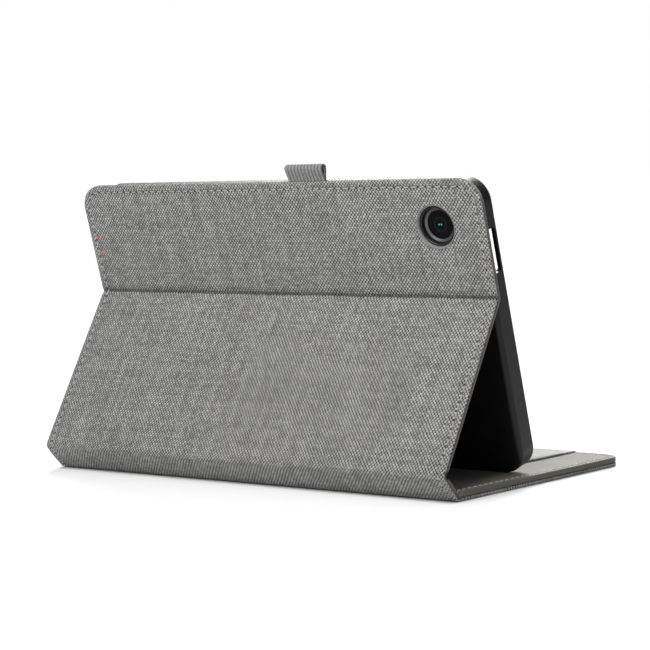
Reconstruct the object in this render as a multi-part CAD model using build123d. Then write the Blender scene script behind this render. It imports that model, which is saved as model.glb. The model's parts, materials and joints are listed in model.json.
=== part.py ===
from build123d import *
import os
from math import acos, cos, degrees, radians, sin

# Folio case for an 8.7 inch tablet, standing up as a landscape stand.
#
# Four stiff panels hang together on cloth folds that run along X: the front cover lies on the table, the
# narrow spine rises from its rear edge, the flap climbs forward from the spine as the rear leg of the stand,
# and the back panel carries the moulded shell that holds the tablet. The shell's lower edge stands on the
# front cover. The screen side faces -Y and the cloth back faces +Y.
#
# Millimetres, +Z up. Each panel is built flat in its own frame: local X is the case's X, local Y runs from
# the front cover's free edge round to the back panel's top edge, and local Z is the depth from the cloth's
# outer face towards the lining. Every fold's axis lies on that outer face.

# The tablet that the shell holds
TABLET_WIDTH = 211.0
TABLET_HEIGHT = 124.7
TABLET_THICKNESS = 8.0
TABLET_CLEARANCE = 0.2
TABLET_CORNER = 8.5

# Moulded shell
SHELL_WALL = 1.8
SHELL_BACK = 1.4
SHELL_LIP_THICKNESS = 1.0
SHELL_LIP_OVERHANG = 1.3
SHELL_BACK_FILLET = 2.4
SHELL_FRONT_FILLET = 0.45
SIDE_SLOT_LENGTH = 19.0
SIDE_SLOT_WIDTH = 7.8
SIDE_SLOT_FROM_TOP = 21.5
PORT_LENGTH = 13.0

# Panels: layer thicknesses, cloth first
CLOTH = 1.0
BOARD = 0.7
LINING = 1.3
COVER_CLOTH = 1.4
COVER_LINING = 1.9
PANEL_CORNER = 11.0
SIDE_OVERHANG = 4.0
TOP_OVERHANG = 2.3
FOOT_OVERHANG = 0.4
BOARD_INSET = 1.6
ADHESIVE = 0.2
ADHESIVE_INSET = 6.0

# Folds
UPPER_HEIGHT = 51.0
SPINE_ALLOWANCE = 1.5
CLOTH_FOLD_GAP = 1.5
BOARD_FOLD_GAP = 2.4
LINING_FOLD_GAP = 4.2
CREASE_CLOTH_GAP = 0.5
CREASE_BOARD_GAP = 2.0
SHELL_LEAN = 15.4
SPINE_RISE = 45.5
STANDING_GAP = 0.2

# Camera opening, and the ring with its window and lens that sits in it
CAMERA_FROM_SIDE = 24.4
CAMERA_FROM_TOP = 20.2
CAMERA_HOLE = 18.6
RING_FIT = 0.1
RING_SPIGOT = 16.6
RING_FLANGE = 18.0
RING_FLANGE_THICKNESS = 0.4
RING_RIM = 17.2
RING_HEIGHT = 2.2
RING_RIM_WALL = 0.8
RING_CHAMFER = 0.25
BEZEL_WIDTH = 0.85
WINDOW_DIAMETER = 12.4
WINDOW_THICKNESS = 0.5
WINDOW_DEPTH = 2.5
BARREL_DIAMETER = 10.6
BARREL_MOUTH = 6.4
BARREL_STEP = 4.4
LENS_DIAMETER = 3.0
LENS_DOME = 0.3
LENS_SINK = 0.45

# Pen loop of elastic webbing
LOOP_WIDTH = 20.0
LOOP_FROM_SIDE = 78.4
WEBBING = 0.7
LOOP_HEIGHT = 7.6
LOOP_DEPTH = 3.8
LOOP_TAIL = 6.0
TAIL_CLEARANCE = 0.2

# Document pocket on the front cover's lining
POCKET_CLOTH = 0.8
POCKET_MOUTH_FROM_SIDE = 24.5
POCKET_DEPTH = 60.0
POCKET_SEAM = 2.0

# Magnets in the front cover's board
MAGNET_LENGTH = 14.0
MAGNET_WIDTH = 5.0
MAGNET_FROM_EDGE = 9.0
MAGNET_FROM_SIDE = 28.0
MAGNET_FIT = 0.15

# Accent bar tacks beside the back panel's edge
TACK_LENGTH = 1.6
TACK_WIDTH = 0.8
TACK_HEIGHT = 0.25
TACK_FROM_TOP = (24.8, 31.6)
TACK_FROM_SIDE = (3.5, 6.1)

# Sizes that follow
SHELL_WIDTH = TABLET_WIDTH + 2 * (TABLET_CLEARANCE + SHELL_WALL)
SHELL_HEIGHT = TABLET_HEIGHT + 2 * (TABLET_CLEARANCE + SHELL_WALL)
BAY_DEPTH = TABLET_THICKNESS + TABLET_CLEARANCE
SHELL_THICKNESS = SHELL_BACK + BAY_DEPTH + SHELL_LIP_THICKNESS
BAY_CORNER = TABLET_CORNER + TABLET_CLEARANCE
SHELL_CORNER = BAY_CORNER + SHELL_WALL
PANEL = CLOTH + BOARD + LINING
COVER = COVER_CLOTH + BOARD + COVER_LINING
CASE_WIDTH = SHELL_WIDTH + 2 * SIDE_OVERHANG
PANEL_HEIGHT = SHELL_HEIGHT + TOP_OVERHANG + FOOT_OVERHANG
FLAP_HEIGHT = PANEL_HEIGHT - UPPER_HEIGHT
SPINE_WIDTH = SHELL_THICKNESS + PANEL + SPINE_ALLOWANCE
SHELL_BACK_AT = PANEL + ADHESIVE
SHELL_FLOOR_AT = SHELL_BACK_AT + SHELL_BACK
SHELL_TOP = UPPER_HEIGHT - TOP_OVERHANG
SHELL_FOOT = SHELL_TOP - SHELL_HEIGHT
SHELL_MIDDLE = (SHELL_TOP + SHELL_FOOT) / 2
LOOP_MIDDLE = -CASE_WIDTH / 2 + LOOP_FROM_SIDE + LOOP_WIDTH / 2
TAIL_THICKNESS = 2 * WEBBING
CAMERA = (-CASE_WIDTH / 2 + CAMERA_FROM_SIDE, UPPER_HEIGHT - CAMERA_FROM_TOP)
RING_FACE = SHELL_BACK_AT - RING_HEIGHT
WINDOW_OUTER = RING_FACE + WINDOW_DEPTH
WINDOW_INNER = WINDOW_OUTER + WINDOW_THICKNESS

# The flap's angle follows from the shell standing on the cover: the rounded rear edge of the shell's foot is
# its lowest point, STANDING_GAP above the cover's lining.
foot_drop = (-SHELL_FOOT - SHELL_BACK_FILLET) * cos(radians(SHELL_LEAN)) + SHELL_BACK_FILLET
foot_rise = (SHELL_BACK_AT + SHELL_BACK_FILLET) * sin(radians(SHELL_LEAN))
crease_height = COVER + STANDING_GAP + foot_drop - foot_rise
spine_height = SPINE_WIDTH * sin(radians(SPINE_RISE))
FLAP_LEAN = degrees(acos((crease_height - spine_height) / FLAP_HEIGHT))

# Each panel's angle from +Y, and the folds' places (Y, Z). The origin is under the middle of the case, whose
# rear edge is the end of the spine's cloth.
SPINE_ANGLE = SPINE_RISE
FLAP_ANGLE = 90.0 + FLAP_LEAN
BACK_ANGLE = 90.0 - SHELL_LEAN
rear_reach = (SPINE_WIDTH - CLOTH_FOLD_GAP) * cos(radians(SPINE_ANGLE))
COVER_FOLD = ((PANEL_HEIGHT - rear_reach) / 2, 0.0)


def along(point, angle, distance):
    """The point (Y, Z) that lies a distance from another at an angle from +Y."""
    return (point[0] + distance * cos(radians(angle)), point[1] + distance * sin(radians(angle)))


FLAP_FOLD = along(COVER_FOLD, SPINE_ANGLE, SPINE_WIDTH)
CREASE = along(FLAP_FOLD, FLAP_ANGLE, FLAP_HEIGHT)


def panel_frame(fold, angle):
    """A panel's flat frame: Y along the panel from its fold, Z from cloth to lining."""
    inward = (0, -sin(radians(angle)), cos(radians(angle)))
    return Plane(origin=(0, fold[0], fold[1]), x_dir=(1, 0, 0), z_dir=inward).location


ON_COVER = panel_frame(COVER_FOLD, 0.0)
ON_SPINE = panel_frame(COVER_FOLD, SPINE_ANGLE)
ON_FLAP = panel_frame(FLAP_FOLD, FLAP_ANGLE)
ON_BACK = panel_frame(CREASE, BACK_ANGLE)

UPWARDS = (Align.CENTER, Align.CENTER, Align.MIN)
DOWNWARDS = (Align.CENTER, Align.CENTER, Align.MAX)


def slab(x_from, x_to, y_from, y_to, z_from, thickness):
    """A plain block between limits."""
    place = ((x_from + x_to) / 2, (y_from + y_to) / 2, z_from)
    return Pos(*place) * Box(x_to - x_from, y_to - y_from, thickness, align=UPWARDS)


def disc(diameter, z_from, thickness):
    """A round plate about the frame's Z axis."""
    return Pos(0, 0, z_from) * Cylinder(diameter / 2, thickness, align=UPWARDS)


def layer(y_from, y_to, z_from, thickness, inset=0.0, round_end=None):
    """One layer of a panel, the case's width less an inset, with rounded corners at one end or none."""
    outline = Pos(0, (y_from + y_to) / 2) * Rectangle(CASE_WIDTH - 2 * inset, y_to - y_from)
    if round_end is not None:
        corners = outline.vertices().sort_by(Axis.Y)
        chosen = corners[-2:] if round_end == "high" else corners[:2]
        outline = fillet(chosen, PANEL_CORNER - inset)
    return Pos(0, 0, z_from) * extrude(outline, thickness)


# Front cover


def cover_layer(z_from, thickness, gap, inset=0.0):
    return layer(-PANEL_HEIGHT + inset, -gap, z_from, thickness, inset, "low")


def magnet(x, fit=0.0):
    """One bar magnet beside the cover's free edge, or the pocket that it drops into."""
    y = -PANEL_HEIGHT + MAGNET_FROM_EDGE
    half_length = MAGNET_LENGTH / 2 + fit
    half_width = MAGNET_WIDTH / 2 + fit
    return slab(x - half_length, x + half_length, y - half_width, y + half_width, COVER_CLOTH, BOARD)


MAGNET_PLACES = (-CASE_WIDTH / 2 + MAGNET_FROM_SIDE, 0.0, CASE_WIDTH / 2 - MAGNET_FROM_SIDE)


def cover_board():
    board = cover_layer(COVER_CLOTH, BOARD, BOARD_FOLD_GAP, BOARD_INSET)
    for x in MAGNET_PLACES:
        board -= magnet(x, MAGNET_FIT)
    return board


def document_pocket():
    """Cloth patch sewn down along three sides, open towards -X, with a corner that follows the cover's."""
    mouth = -CASE_WIDTH / 2 + POCKET_MOUTH_FROM_SIDE
    end = CASE_WIDTH / 2 - POCKET_SEAM
    low = -PANEL_HEIGHT + POCKET_SEAM
    patch = slab(mouth, end, low, low + POCKET_DEPTH, COVER, POCKET_CLOTH)
    corner = patch.edges().filter_by(Axis.Z).sort_by(Axis.Y)[:2].sort_by(Axis.X)[-1]
    return fillet(corner, PANEL_CORNER - POCKET_SEAM)


# Back panel


def back_layer(z_from, thickness, gap, inset=0.0):
    return layer(gap, UPPER_HEIGHT - inset, z_from, thickness, inset, "high")


def camera_part(shape):
    """Moves a turned piece to the camera's axis."""
    return Pos(CAMERA[0], CAMERA[1], 0) * shape


def camera_hole():
    return camera_part(disc(CAMERA_HOLE, -1, SHELL_BACK_AT + 1))


def tail_room():
    """The room between cloth and lining that the pen loop's tails are sewn into."""
    half = LOOP_WIDTH / 2 + TAIL_CLEARANCE
    low = UPPER_HEIGHT - LOOP_TAIL - TAIL_CLEARANCE
    return slab(LOOP_MIDDLE - half, LOOP_MIDDLE + half, low, UPPER_HEIGHT + 1, CLOTH, TAIL_THICKNESS)


def back_cloth():
    return back_layer(0.0, CLOTH, CREASE_CLOTH_GAP) - camera_hole()


def back_board():
    return back_layer(CLOTH, BOARD, CREASE_BOARD_GAP, BOARD_INSET) - camera_hole() - tail_room()


def back_lining():
    return back_layer(CLOTH + BOARD, LINING, CREASE_BOARD_GAP) - camera_hole() - tail_room()


def adhesive_sheet():
    """Sheet of glue between the back panel's lining and the shell."""
    half = SHELL_WIDTH / 2 - ADHESIVE_INSET
    sheet = slab(-half, half, ADHESIVE_INSET, SHELL_TOP - ADHESIVE_INSET, PANEL, ADHESIVE)
    return sheet - camera_hole()


def pen_loop():
    """Webbing doubled into a flat loop over the top edge, with both tails sewn in below it."""
    neck = CLOTH + TAIL_THICKNESS / 2
    half_depth = LOOP_DEPTH / 2
    tip = UPPER_HEIGHT + LOOP_HEIGHT
    outside = loop_outline(neck, UPPER_HEIGHT, tip, half_depth, TAIL_THICKNESS / 2)
    inside = loop_outline(neck, UPPER_HEIGHT + WEBBING, tip - WEBBING, half_depth - WEBBING, WEBBING / 4)
    band = extrude(outside - inside, LOOP_WIDTH / 2, both=True)
    half = LOOP_WIDTH / 2
    tails = slab(-half, half, UPPER_HEIGHT - LOOP_TAIL, UPPER_HEIGHT, CLOTH, TAIL_THICKNESS)
    return Pos(LOOP_MIDDLE, 0, 0) * (band + tails)


def loop_outline(neck, foot, tip, half_depth, half_foot):
    """A drop shape across the loop: narrow at its foot and round at its tip."""
    crown = tip - half_depth
    sides = Polyline(
        (0, crown, neck + half_depth),
        (0, foot, neck + half_foot),
        (0, foot, neck - half_foot),
        (0, crown, neck - half_depth),
    )
    arch = ThreePointArc((0, crown, neck - half_depth), (0, tip, neck), (0, crown, neck + half_depth))
    return make_face([*sides.edges(), arch])


def accent_tacks():
    """Two pairs of short raised stitches."""
    tacks = []
    for from_top in TACK_FROM_TOP:
        for from_side in TACK_FROM_SIDE:
            tack = Box(TACK_LENGTH, TACK_WIDTH, TACK_HEIGHT, align=DOWNWARDS)
            tack = fillet(tack.faces().sort_by(Axis.Z)[0].edges(), TACK_HEIGHT * 0.6)
            tacks.append(Pos(CASE_WIDTH / 2 - from_side, UPPER_HEIGHT - from_top, 0) * tack)
    return Compound(children=tacks)


# Shell


def bay(inset, z_from, thickness):
    """The tablet's rounded outline, less an inset, as a block."""
    width = TABLET_WIDTH + 2 * (TABLET_CLEARANCE - inset)
    height = TABLET_HEIGHT + 2 * (TABLET_CLEARANCE - inset)
    outline = RectangleRounded(width, height, BAY_CORNER - inset)
    return Pos(0, SHELL_MIDDLE, z_from) * extrude(outline, thickness)


def wall_cut(side, y_from, y_to):
    """A cut with rounded corners through one of the shell's short walls, level with the bay's floor."""
    wall = side * SHELL_WIDTH / 2
    x_from, x_to = sorted((wall + side * SHELL_WALL, wall - side * 2 * SHELL_WALL))
    cut = slab(x_from, x_to, y_from, y_to, SHELL_FLOOR_AT, SIDE_SLOT_WIDTH)
    return fillet(cut.edges().filter_by(Axis.X), SIDE_SLOT_WIDTH / 5)


def lip_notch(side, y_from, y_to):
    """A cut that takes the lip back to the wall beside a side slot, so that a fingertip reaches the buttons."""
    wall = side * (SHELL_WIDTH / 2 - SHELL_WALL)
    x_from, x_to = sorted((wall, wall - side * 2 * SHELL_LIP_OVERHANG))
    return slab(x_from, x_to, y_from, y_to, SHELL_FLOOR_AT, SHELL_THICKNESS)


def shell_stock():
    """The shell's whole outside, rounded at the back, with nothing taken out."""
    outline = RectangleRounded(SHELL_WIDTH, SHELL_HEIGHT, SHELL_CORNER)
    stock = Pos(0, SHELL_MIDDLE, SHELL_BACK_AT) * extrude(outline, SHELL_THICKNESS)
    stock = fillet(stock.faces().sort_by(Axis.Z)[0].edges(), SHELL_BACK_FILLET)
    return fillet(stock.faces().sort_by(Axis.Z)[-1].edges(), SHELL_FRONT_FILLET)


def shell_frame():
    """Soft bumper round the tablet: four walls with a lip at the front and cut-outs in the short walls."""
    frame = shell_stock() - bay(0.0, SHELL_BACK_AT - 1, SHELL_BACK + BAY_DEPTH + 1)
    frame -= bay(SHELL_LIP_OVERHANG, SHELL_FLOOR_AT + BAY_DEPTH / 2, SHELL_THICKNESS)
    slot_high = SHELL_TOP - SIDE_SLOT_FROM_TOP
    for side in (-1, 1):
        frame -= wall_cut(side, slot_high - SIDE_SLOT_LENGTH, slot_high)
        frame -= lip_notch(side, slot_high - SIDE_SLOT_LENGTH, slot_high)
    return frame - wall_cut(1, SHELL_MIDDLE - PORT_LENGTH / 2, SHELL_MIDDLE + PORT_LENGTH / 2)


def shell_back():
    """Stiff plate that fills the bumper's back, with the opening for the camera."""
    plate = bay(0.0, SHELL_BACK_AT - 1, SHELL_BACK + 1) & shell_stock()
    return plate - camera_part(disc(RING_SPIGOT + 2 * RING_FIT, SHELL_BACK_AT - 1, SHELL_BACK + 2))


# Camera ring, window, barrel and lens


def camera_ring():
    """Turned ring: a spigot in the shell's hole, a flange on its back, a rim, and a sloping bezel inside."""
    rim = RING_RIM / 2
    mouth = rim - RING_RIM_WALL
    seat = WINDOW_DIAMETER / 2 + RING_FIT
    bezel = seat + BEZEL_WIDTH
    throat = BARREL_DIAMETER / 2 + RING_FIT
    flange_face = SHELL_BACK_AT - RING_FLANGE_THICKNESS
    ledge = WINDOW_OUTER - BEZEL_WIDTH / 2
    section = Polyline(
        (throat, 0, WINDOW_INNER),
        (seat, 0, WINDOW_INNER),
        (seat, 0, WINDOW_OUTER - RING_FIT),
        (bezel, 0, ledge - RING_CHAMFER),
        (mouth, 0, ledge - RING_CHAMFER),
        (mouth, 0, RING_FACE + RING_CHAMFER),
        (mouth + RING_CHAMFER, 0, RING_FACE),
        (rim - RING_CHAMFER, 0, RING_FACE),
        (rim, 0, RING_FACE + RING_CHAMFER),
        (rim, 0, flange_face),
        (RING_FLANGE / 2, 0, flange_face),
        (RING_FLANGE / 2, 0, SHELL_BACK_AT),
        (RING_SPIGOT / 2, 0, SHELL_BACK_AT),
        (RING_SPIGOT / 2, 0, SHELL_FLOOR_AT),
        (throat, 0, SHELL_FLOOR_AT),
        close=True,
    )
    return camera_part(revolve(make_face(section.edges()), Axis.Z))


def camera_window():
    return camera_part(disc(WINDOW_DIAMETER, WINDOW_OUTER, WINDOW_THICKNESS))


def camera_barrel():
    """Disc behind the window with a stepped mouth that the lens sits in."""
    depth = SHELL_FLOOR_AT - WINDOW_INNER
    barrel = disc(BARREL_DIAMETER, WINDOW_INNER, depth)
    barrel -= disc(BARREL_MOUTH, WINDOW_INNER - 1, 1 + LENS_SINK / 2)
    barrel -= disc(BARREL_STEP, WINDOW_INNER - 1, 1 + LENS_SINK)
    barrel -= disc(LENS_DIAMETER + 2 * RING_FIT, WINDOW_INNER - 1, 2 + depth)
    return camera_part(barrel)


def camera_lens():
    """Small element with a domed outer face."""
    radius = LENS_DIAMETER / 2
    sphere_radius = (radius**2 + LENS_DOME**2) / (2 * LENS_DOME)
    face = WINDOW_INNER + LENS_SINK - LENS_DOME
    stock = disc(LENS_DIAMETER, face, SHELL_FLOOR_AT - face)
    return camera_part(stock & Pos(0, 0, face + sphere_radius) * Sphere(sphere_radius))


def build_nodes():
    """Every node's name with its solid in place."""
    lining_at = CLOTH + BOARD
    spine_end = SPINE_WIDTH
    flap_end = FLAP_HEIGHT - CREASE_BOARD_GAP
    gap = LINING_FOLD_GAP
    board_end = spine_end - BOARD_FOLD_GAP
    return {
        "cover_cloth": ON_COVER * cover_layer(0.0, COVER_CLOTH, CLOTH_FOLD_GAP),
        "cover_board": ON_COVER * cover_board(),
        "cover_lining": ON_COVER * cover_layer(COVER_CLOTH + BOARD, COVER_LINING, gap),
        "cover_magnets": ON_COVER * Compound(children=[magnet(x) for x in MAGNET_PLACES]),
        "document_pocket": ON_COVER * document_pocket(),
        "spine_cloth": ON_SPINE * layer(CLOTH_FOLD_GAP, spine_end - CLOTH_FOLD_GAP, 0.0, CLOTH),
        "spine_board": ON_SPINE * layer(BOARD_FOLD_GAP, board_end, CLOTH, BOARD, BOARD_INSET),
        "spine_lining": ON_SPINE * layer(gap, spine_end - gap, lining_at, LINING),
        "flap_cloth": ON_FLAP * layer(CLOTH_FOLD_GAP, FLAP_HEIGHT - CREASE_CLOTH_GAP, 0.0, CLOTH),
        "flap_board": ON_FLAP * layer(BOARD_FOLD_GAP, flap_end, CLOTH, BOARD, BOARD_INSET),
        "flap_lining": ON_FLAP * layer(gap, flap_end, lining_at, LINING),
        "back_cloth": ON_BACK * back_cloth(),
        "back_board": ON_BACK * back_board(),
        "back_lining": ON_BACK * back_lining(),
        "adhesive_sheet": ON_BACK * adhesive_sheet(),
        "shell_frame": ON_BACK * shell_frame(),
        "shell_back": ON_BACK * shell_back(),
        "camera_ring": ON_BACK * camera_ring(),
        "camera_window": ON_BACK * camera_window(),
        "camera_barrel": ON_BACK * camera_barrel(),
        "camera_lens": ON_BACK * camera_lens(),
        "pen_loop": ON_BACK * pen_loop(),
        "accent_tacks": ON_BACK * accent_tacks(),
    }


os.makedirs("parts", exist_ok=True)
for name, shape in build_nodes().items():
    export_step(shape, f"parts/{name}.step")
print("cover fold", COVER_FOLD, "flap fold", FLAP_FOLD, "crease", CREASE)
print("spine angle", SPINE_ANGLE, "flap angle", FLAP_ANGLE, "back angle", BACK_ANGLE)
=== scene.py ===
import json
from collections import namedtuple
from math import cos, hypot, pi, radians, sin, tan

import bmesh
import bpy
import numpy as np
from mathutils import Matrix, Vector


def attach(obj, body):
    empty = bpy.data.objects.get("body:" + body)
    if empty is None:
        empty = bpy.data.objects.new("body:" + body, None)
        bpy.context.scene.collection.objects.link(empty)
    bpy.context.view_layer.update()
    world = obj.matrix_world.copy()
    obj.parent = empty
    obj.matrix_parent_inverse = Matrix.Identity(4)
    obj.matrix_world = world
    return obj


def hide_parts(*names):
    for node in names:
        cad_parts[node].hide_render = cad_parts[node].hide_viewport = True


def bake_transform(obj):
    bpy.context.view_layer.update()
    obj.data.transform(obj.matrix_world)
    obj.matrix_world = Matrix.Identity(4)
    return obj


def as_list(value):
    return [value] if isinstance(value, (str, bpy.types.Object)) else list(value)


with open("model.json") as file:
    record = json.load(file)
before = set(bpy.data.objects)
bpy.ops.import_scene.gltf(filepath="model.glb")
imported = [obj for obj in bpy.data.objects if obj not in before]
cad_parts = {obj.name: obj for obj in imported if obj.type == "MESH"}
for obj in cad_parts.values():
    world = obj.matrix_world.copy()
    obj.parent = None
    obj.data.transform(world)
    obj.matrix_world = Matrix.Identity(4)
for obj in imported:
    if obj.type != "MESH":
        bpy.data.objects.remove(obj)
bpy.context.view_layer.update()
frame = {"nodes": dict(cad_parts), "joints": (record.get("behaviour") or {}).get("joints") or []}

# Looks of a folio tablet case standing as a landscape stand: heather cloth outside, soft lining inside, sewn
# round the edge, with a moulded black shell. Lengths in this script are millimetres, turned into metres when
# a mesh is made. The case is described unrolled: x along the folds, u from the front cover's free edge
# (negative) over the spine and the flap to the back panel's top edge, and d the depth from the cloth's outer
# face towards the lining. bend() rolls that up into the standing case.
MM = 0.001
rng = np.random.default_rng(11)

# ---------------------------------------------------------------- sizes, read from the frame
JOINTS = {joint["name"]: joint for joint in frame["joints"]}


def fold_place(joint):
    """A joint's axis (y, z), in millimetres."""
    return np.array(JOINTS[joint]["pos_m"][1:]) / MM


COVER_FOLD = fold_place("cover_fold")
FLAP_FOLD = fold_place("spine_fold")
CREASE = fold_place("crease_fold")
COVER_ANGLE = 0.0
SPINE_ANGLE = -radians(JOINTS["cover_fold"]["range_deg"][0])
FLAP_ANGLE = SPINE_ANGLE - radians(JOINTS["spine_fold"]["range_deg"][0])
BACK_ANGLE = FLAP_ANGLE - radians(JOINTS["crease_fold"]["range_deg"][1])


def along(angle):
    """Unit vector (y, z) that runs up a panel."""
    return np.array([cos(angle), sin(angle)])


def inward(angle):
    """Unit vector (y, z) from a panel's cloth towards its lining."""
    return np.array([-sin(angle), cos(angle)])


def limits(node, fold, angle):
    """A node's lowest and highest (x, distance up the panel, depth)."""
    points = np.array([v.co for v in frame["nodes"][node].data.vertices]) / MM
    flat = points[:, 1:] - fold
    local = np.stack([points[:, 0], flat @ along(angle), flat @ inward(angle)], axis=1)
    return local.min(axis=0), local.max(axis=0)


cover_low, cover_high = limits("cover_cloth", COVER_FOLD, COVER_ANGLE)
back_low, back_high = limits("back_cloth", CREASE, BACK_ANGLE)
cover_lining_low, cover_lining_high = limits("cover_lining", COVER_FOLD, COVER_ANGLE)
back_lining_low, back_lining_high = limits("back_lining", CREASE, BACK_ANGLE)
ring_low, ring_high = limits("camera_ring", CREASE, BACK_ANGLE)
loop_low, loop_high = limits("pen_loop", CREASE, BACK_ANGLE)
pocket_low, pocket_high = limits("document_pocket", COVER_FOLD, COVER_ANGLE)
tacks_low, tacks_high = limits("accent_tacks", CREASE, BACK_ANGLE)

HALF = back_high[0]
SPINE = np.linalg.norm(FLAP_FOLD - COVER_FOLD)
CREASE_U = SPINE + np.linalg.norm(CREASE - FLAP_FOLD)
START = cover_low[1]
END = CREASE_U + back_high[1]
COVER_CLOTH = cover_high[2]
CLOTH = back_high[2]
COVER_BOARD = cover_lining_low[2]
BOARD = back_lining_low[2]
COVER_THICK = cover_lining_high[2]
THICK = back_lining_high[2]
CORNER = 11.0
BOARD_INSET = 1.6
WEBBING = 0.7
HOLE_RADIUS = 9.3
RING_CENTRE = (ring_low + ring_high) / 2
HOLE = (RING_CENTRE[0], CREASE_U + RING_CENTRE[1])
SPINE_CUT = SPINE / 2
FLAP_CUT = (SPINE + CREASE_U) / 2
SEAM_INSET = 3.1
LOOP_MIDDLE = (loop_low[0] + loop_high[0]) / 2
LOOP_HALF = (loop_high[0] - loop_low[0]) / 2
TAIL = back_high[1] - loop_low[1]
TAIL_UNDER = CLOTH + 2 * WEBBING + 0.05
FAR = 99.0

# ---------------------------------------------------------------- the folds
# Each fold: its u, its place, the panels' angles before and after it, and the radius of the cloth's outer
# face round it. The crease bends the other way from the spine's two folds, and more tightly.
SPINE_FOLD_RADIUS = 2.4
CREASE_RADIUS = 0.6
BLEND_REACH = 2.4
FOLDS = (
    (0.0, COVER_FOLD, COVER_ANGLE, SPINE_ANGLE, SPINE_FOLD_RADIUS),
    (SPINE, FLAP_FOLD, SPINE_ANGLE, FLAP_ANGLE, SPINE_FOLD_RADIUS),
    (CREASE_U, CREASE, FLAP_ANGLE, BACK_ANGLE, CREASE_RADIUS),
)


def bend(x, u, d):
    """Points of the unrolled case, in metres, where the standing case has them."""
    x, u, d = np.broadcast_arrays(np.asarray(x, float), np.asarray(u, float), np.asarray(d, float))
    flat = COVER_FOLD + u[..., None] * along(COVER_ANGLE) + d[..., None] * inward(COVER_ANGLE)
    for fold_u, place, _, after, _ in FOLDS:
        straight = place + (u - fold_u)[..., None] * along(after) + d[..., None] * inward(after)
        beyond = u > fold_u
        flat[beyond] = straight[beyond]
    for fold_u, place, before, after, radius in FOLDS:
        turn = after - before
        side = 1.0 if turn > 0 else -1.0
        reach = radius * tan(abs(turn) / 2)
        centre = place - reach * along(before) + side * radius * inward(before)
        share = (u - fold_u + reach) / (2 * reach)
        angles = before + np.clip(share, 0, 1) * turn
        inwards = np.stack([-np.sin(angles), np.cos(angles)], axis=-1)
        rolled = centre - side * (radius - side * d)[..., None] * inwards
        near = (share > 0) & (share < 1)
        flat[near] = rolled[near]
    return np.concatenate([x[..., None], flat], axis=-1) * MM


def smooth(low, high, value):
    """0 up to low, 1 from high on, and a smooth rise between."""
    t = np.clip((value - low) / (high - low), 0, 1)
    return t * t * (3 - 2 * t)


def rounding(radius, edge):
    """How far a rounded edge falls back at a distance from the outline."""
    inside = np.clip(radius - edge, 0, radius)
    return radius - np.sqrt(radius**2 - inside**2)


def bump_at(value, centre, width):
    """A bell curve, 1 at its centre."""
    return np.exp(-(((value - centre) / width) ** 2))


def ripple(x, u):
    """Slow unevenness of a glued panel, from 0 to 1."""
    swell = np.sin(x / 17 + 1.3) * np.sin(u / 13 + 0.4)
    slanted = 0.6 * np.sin(x / 7.3 - u / 9.1)
    crossing = 0.4 * np.sin(u / 5.7 + x / 23)
    return 0.5 + (swell + slanted + crossing) / 4


def fold_dip(u, fold_u, full, none):
    """1 within the distance full from a fold, and 0 beyond the distance none."""
    return 1 - smooth(full, none, np.abs(u - fold_u))


def on_cover(u):
    """1 on the front cover, whose cloth and lining are thicker, and 0 beyond its fold."""
    return 1 - smooth(-5.0, -1.0, u)


CLOTH_EDGE_RADIUS = 0.5
CLOTH_BACK_RADIUS = 0.32
LINING_EDGE_RADIUS = 0.85
SKIRT_RADIUS = 0.45
SKIRT_GAP = 0.24
CLOTH_SEAM_DEPTH = 0.30
LINING_SEAM_DEPTH = 0.28
SEAM_WIDTH = 0.6
CREASE_PINCH = 0.34
SPINE_BULGE = 0.35
FOLD_THINNING = 0.15
LINING_SUNK = 1.85


def cloth_face(x, u, edge, hole_edge):
    """Depth of the cloth's outer face."""
    lift = (0.03 + 0.10 * ripple(x, u)) * (1 - on_cover(u))
    lift = lift * smooth(0.4, 5.0, edge) * (1 - fold_dip(u, SPINE, 3.0, 8.0))
    bulge = np.where((u > 0) & (u < SPINE), np.sin(pi * np.clip(u / SPINE, 0, 1)) ** 2, 0.0)
    seam = CLOTH_SEAM_DEPTH * bump_at(edge, SEAM_INSET, SEAM_WIDTH)
    pinch = CREASE_PINCH * fold_dip(u, CREASE_U, 0.1, 2.0)
    fall = rounding(CLOTH_EDGE_RADIUS, np.minimum(edge, hole_edge))
    return fall + lift + seam + pinch - SPINE_BULGE * bulge


def cloth_under(x, u, edge, hole_edge):
    """Depth of the cloth's glued face."""
    thick = CLOTH + (COVER_CLOTH - CLOTH) * on_cover(u)
    for fold_u in (SPINE, 0.0):
        thick = thick - FOLD_THINNING * fold_dip(u, fold_u, 2.0, 3.5)
    return thick - rounding(CLOTH_BACK_RADIUS, np.minimum(edge, hole_edge))


def lining_face(x, u, edge, hole_edge):
    """Depth of the lining's bare face, which sinks between the boards at the folds."""
    thick = THICK + (COVER_THICK - THICK) * on_cover(u)
    sunk = LINING_SUNK + 0.15 * np.sin(x / 11.0)
    thick = thick + (sunk - thick) * fold_dip(u, 0.0, 1.8, 4.6)
    thick = thick + (sunk - thick) * fold_dip(u, SPINE, 2.2, 5.0)
    uneven = 0.10 * ripple(x + 40, u + 25) * smooth(0.8, 5.0, edge)
    seam = LINING_SEAM_DEPTH * bump_at(edge, SEAM_INSET, SEAM_WIDTH)
    return thick - rounding(LINING_EDGE_RADIUS, np.minimum(edge, hole_edge)) - uneven - seam


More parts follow.
